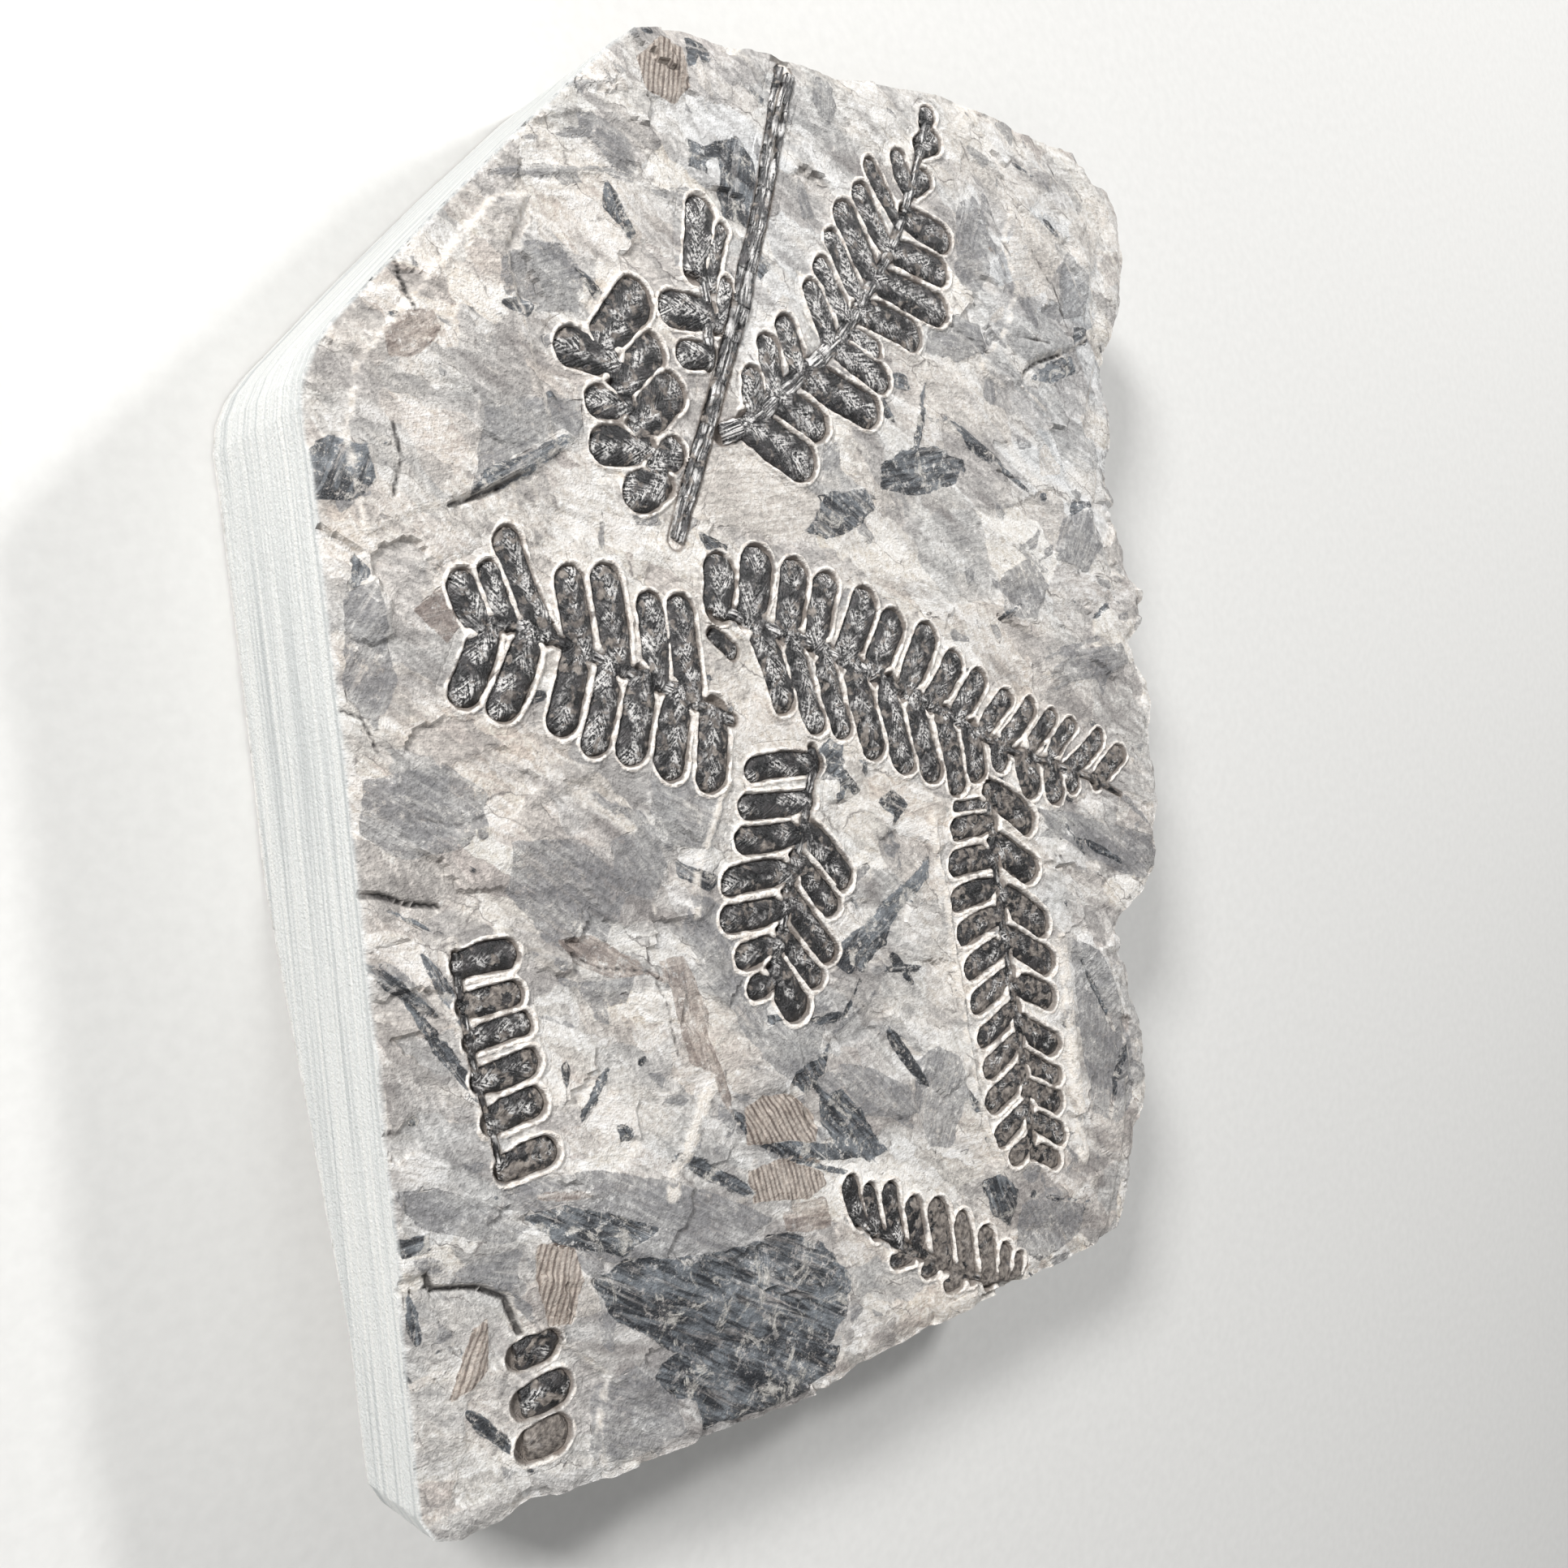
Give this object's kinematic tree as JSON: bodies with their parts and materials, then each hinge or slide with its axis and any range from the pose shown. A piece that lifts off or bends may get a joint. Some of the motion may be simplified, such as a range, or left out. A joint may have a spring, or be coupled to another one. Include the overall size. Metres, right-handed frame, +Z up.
{
  "type": "fossil fern plate",
  "caption": "Sawn and broken slab of pale grey shale with dark coalified fern fronds on its face, for display as a natural history specimen.",
  "frame": {"origin": "on the flat back, under the middle of the plate's bounding box", "axes": "+Z up out of the fern face, +Y along the sawn left edge towards the top of the plate, +X towards the broken right edge"},
  "size_m": [0.1539, 0.189, 0.0289],
  "materials": {
    "pale_shale": "matt fine-grained split shale, pale grey with a faint pink tone; two edges saw cut",
    "coalified_fern": "thin film of coal, dark grey to black, granular with a dull silvery sheen"
  },
  "bodies": {
    "root": {"stone_slab": "pale_shale", "main_stem": "coalified_fern", "upper_left_pinna": "coalified_fern", "upper_middle_pinna": "coalified_fern", "upper_right_pinna": "coalified_fern", "left_frond": "coalified_fern", "right_frond": "coalified_fern", "centre_frond": "coalified_fern", "lower_right_frond": "coalified_fern", "half_frond": "coalified_fern", "bottom_frond": "coalified_fern", "loose_leaflet": "coalified_fern", "leaflet_upper": "coalified_fern", "leaflet_middle": "coalified_fern", "leaflet_lower": "coalified_fern"}
  },
  "joints": []
}
